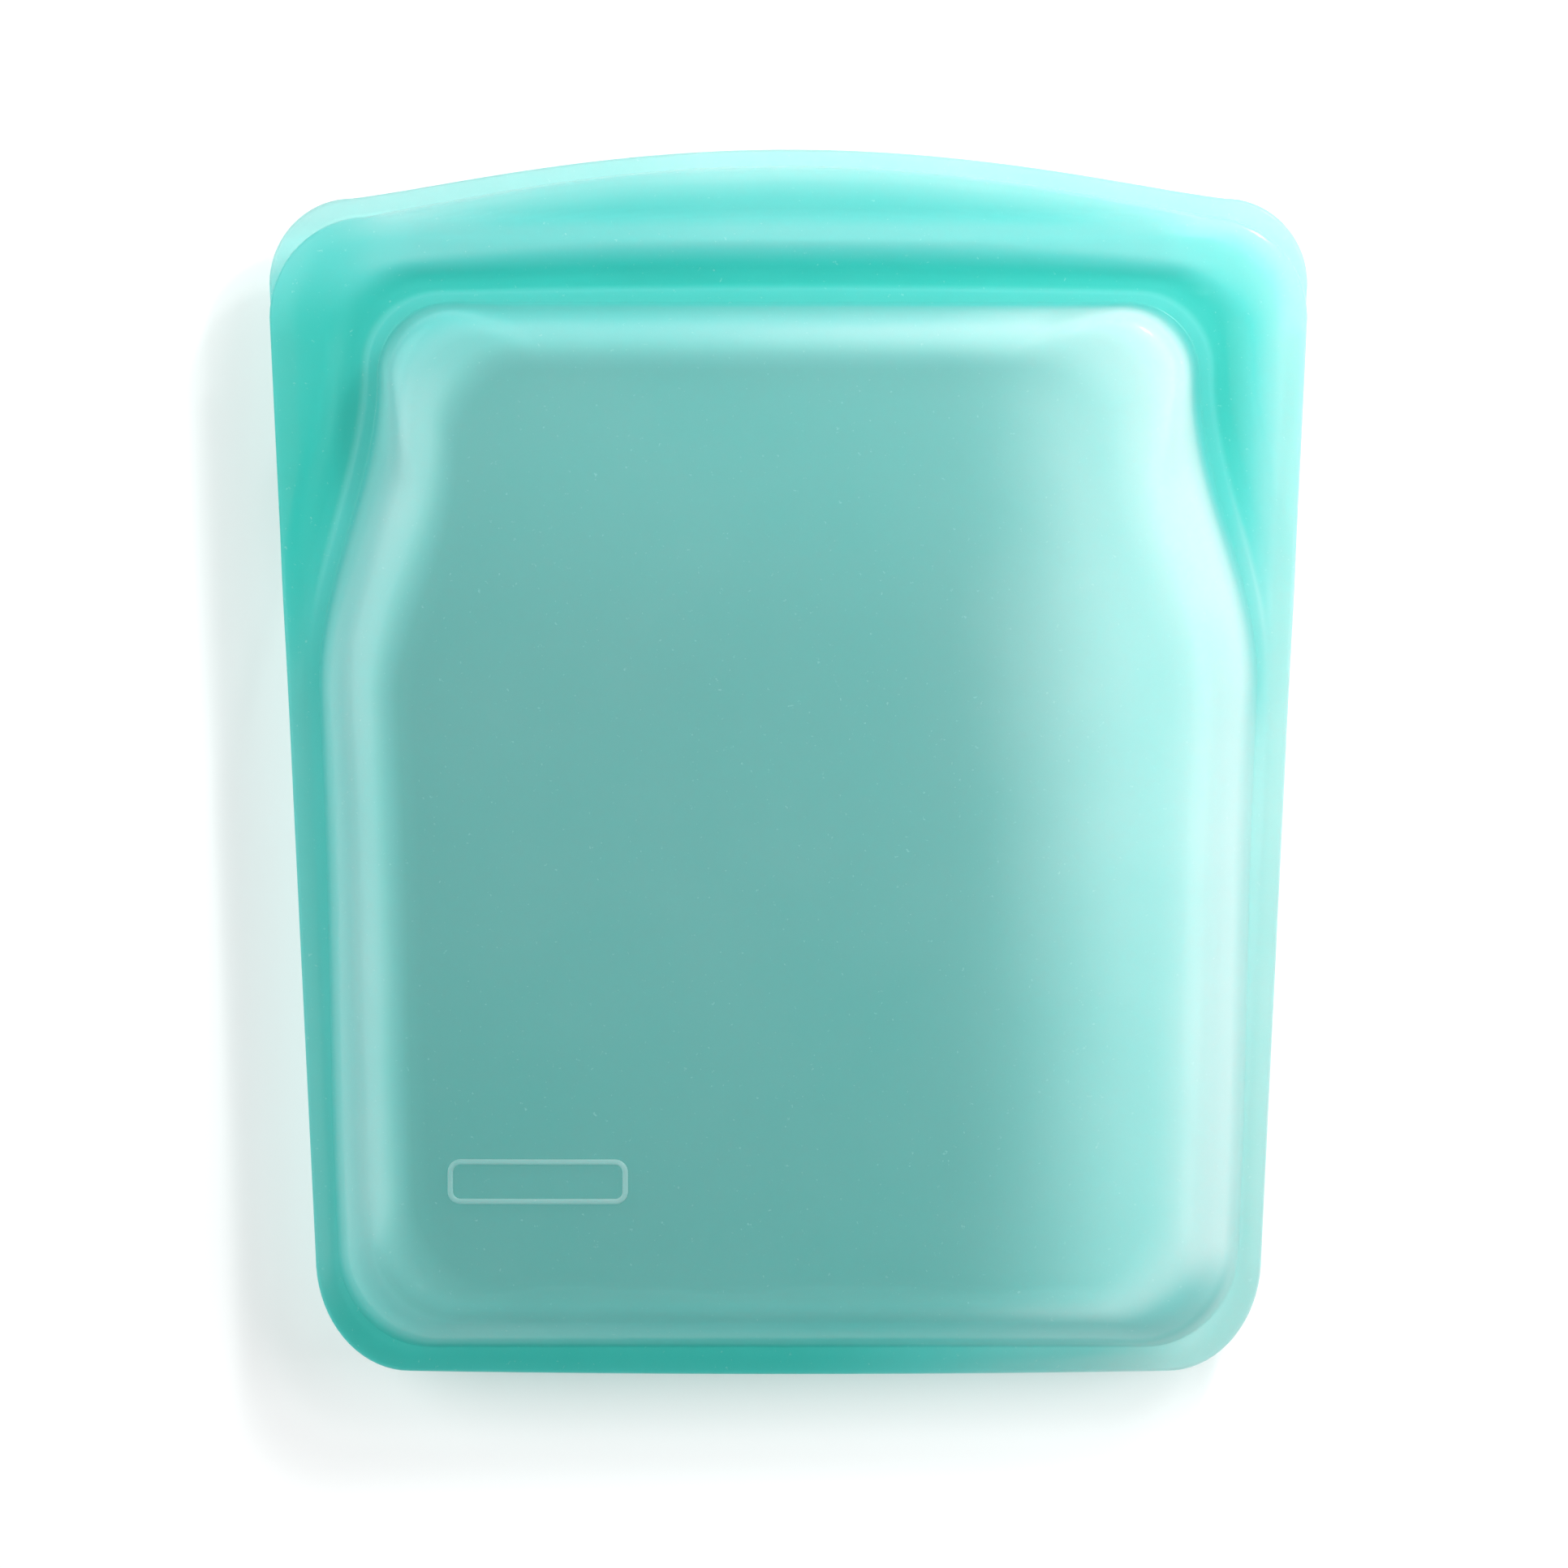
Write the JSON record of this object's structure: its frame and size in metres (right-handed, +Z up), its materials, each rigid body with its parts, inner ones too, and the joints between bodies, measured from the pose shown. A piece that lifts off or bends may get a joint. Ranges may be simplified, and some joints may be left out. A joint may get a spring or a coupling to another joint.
{
  "type": "reusable silicone food bag",
  "caption": "Flat reusable silicone food bag, lying on its back: a moulded pocket with welded sides, a press-to-close mouth that lifts open, and two pull lips.",
  "frame": {"origin": "middle of the bag's length and width, on the surface that its back rests on", "axes": "+X to the right seen from the front, +Y towards the mouth, +Z up out of the front"},
  "size_m": [0.2108, 0.2486, 0.0389],
  "materials": {
    "wall_silicone": "frosted translucent",
    "lip_silicone": "frosted translucent",
    "closure_silicone": "satin",
    "weld_silicone": "satin"
  },
  "bodies": {
    "pocket": {"front_wall": "wall_silicone", "back_wall": "wall_silicone", "back_closure_band": "closure_silicone", "channel_inner_wall": "closure_silicone", "channel_outer_wall": "closure_silicone", "side_seam_left": "weld_silicone", "side_seam_right": "weld_silicone", "bottom_seam": "weld_silicone", "closure_end_left": "weld_silicone", "closure_end_right": "weld_silicone", "label_frame": "wall_silicone"},
    "front_mouth": {"front_mouth_panel": "wall_silicone", "front_closure_band": "closure_silicone", "front_lip": "lip_silicone", "press_rib": "closure_silicone"},
    "back_lip": {"back_lip": "lip_silicone"}
  },
  "joints": [
    {"name": "front_mouth_open", "type": "hinge", "parent": "pocket", "child": "front_mouth", "pos_m": [0, 0.052, 0.038], "axis": [1, 0, 0], "range_deg": [0, 35], "stiffness_Nm_per_rad": 0.06, "springref_deg": -2.86},
    {"name": "back_lip_fold", "type": "hinge", "parent": "pocket", "child": "back_lip", "pos_m": [0, 0.1104, 0.0144], "axis": [-1, 0, 0], "range_deg": [0, 50], "stiffness_Nm_per_rad": 0.05, "springref_deg": -2.86}
  ]
}
